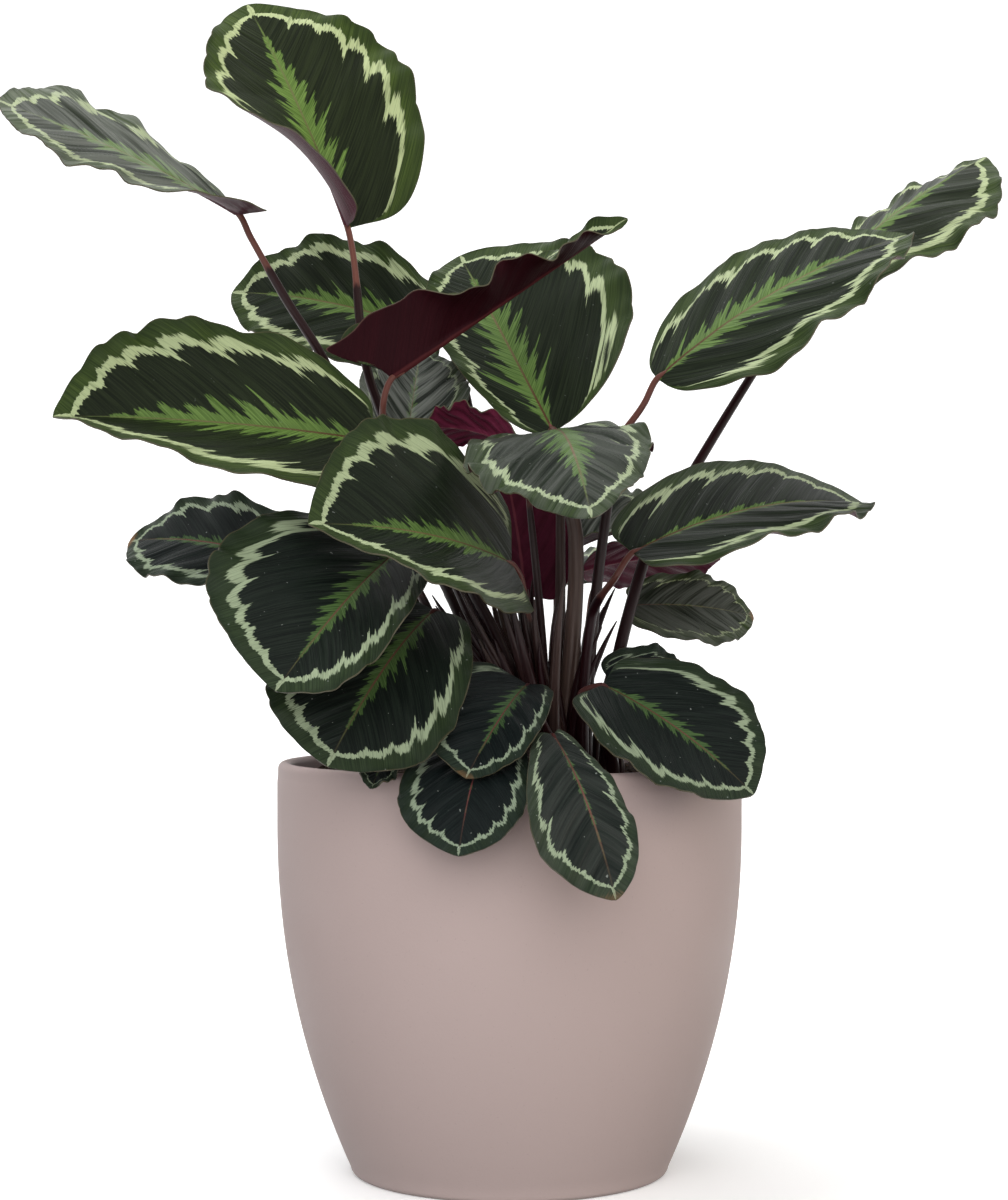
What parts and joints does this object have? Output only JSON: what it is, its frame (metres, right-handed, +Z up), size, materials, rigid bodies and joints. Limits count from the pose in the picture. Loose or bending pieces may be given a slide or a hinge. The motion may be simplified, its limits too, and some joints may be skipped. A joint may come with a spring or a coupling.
{
  "type": "potted calathea",
  "caption": "House plant with round banded leaves, dark green above and wine red below, on long maroon stalks, standing in soil in a plain tapered round pot with a matte taupe finish.",
  "frame": {"origin": "middle of the pot's flat foot, on the ground", "axes": "+Z up along the pot's axis, the front of the plant faces -Y, +X to the right as seen from the front"},
  "size_m": [0.4807, 0.3364, 0.5683],
  "materials": {
    "pot_taupe": "matte pinkish taupe",
    "potting_soil": "crumbly, dark brown",
    "banded_leaf": "semi-gloss, dark green with a pale ring and a feathered light green middle above, wine red below",
    "maroon_stalk": "semi-gloss dark maroon, light brown-pink near the blade"
  },
  "bodies": {
    "root": {"pot": "pot_taupe", "soil": "potting_soil", "leaf_01": "banded_leaf", "stalk_01": "maroon_stalk", "leaf_02": "banded_leaf", "stalk_02": "maroon_stalk", "leaf_03": "banded_leaf", "stalk_03": "maroon_stalk", "leaf_04": "banded_leaf", "stalk_04": "maroon_stalk", "leaf_05": "banded_leaf", "stalk_05": "maroon_stalk", "leaf_06": "banded_leaf", "stalk_06": "maroon_stalk", "leaf_07": "banded_leaf", "stalk_07": "maroon_stalk", "leaf_08": "banded_leaf", "stalk_08": "maroon_stalk", "leaf_09": "banded_leaf", "stalk_09": "maroon_stalk", "leaf_10": "banded_leaf", "stalk_10": "maroon_stalk", "leaf_11": "banded_leaf", "stalk_11": "maroon_stalk", "leaf_12": "banded_leaf", "stalk_12": "maroon_stalk", "leaf_13": "banded_leaf", "stalk_13": "maroon_stalk", "leaf_14": "banded_leaf", "stalk_14": "maroon_stalk", "leaf_15": "banded_leaf", "stalk_15": "maroon_stalk", "leaf_16": "banded_leaf", "stalk_16": "maroon_stalk", "leaf_17": "banded_leaf", "stalk_17": "maroon_stalk", "leaf_18": "banded_leaf", "stalk_18": "maroon_stalk", "leaf_19": "banded_leaf", "stalk_19": "maroon_stalk", "leaf_20": "banded_leaf", "stalk_20": "maroon_stalk", "leaf_21": "banded_leaf", "stalk_21": "maroon_stalk", "leaf_22": "banded_leaf", "stalk_22": "maroon_stalk", "leaf_23": "banded_leaf", "stalk_23": "maroon_stalk", "leaf_24": "banded_leaf", "stalk_24": "maroon_stalk", "leaf_25": "banded_leaf", "stalk_25": "maroon_stalk", "leaf_26": "banded_leaf", "stalk_26": "maroon_stalk", "leaf_27": "banded_leaf", "stalk_27": "maroon_stalk", "leaf_28": "banded_leaf", "stalk_28": "maroon_stalk", "leaf_29": "banded_leaf", "stalk_29": "maroon_stalk"}
  },
  "joints": []
}
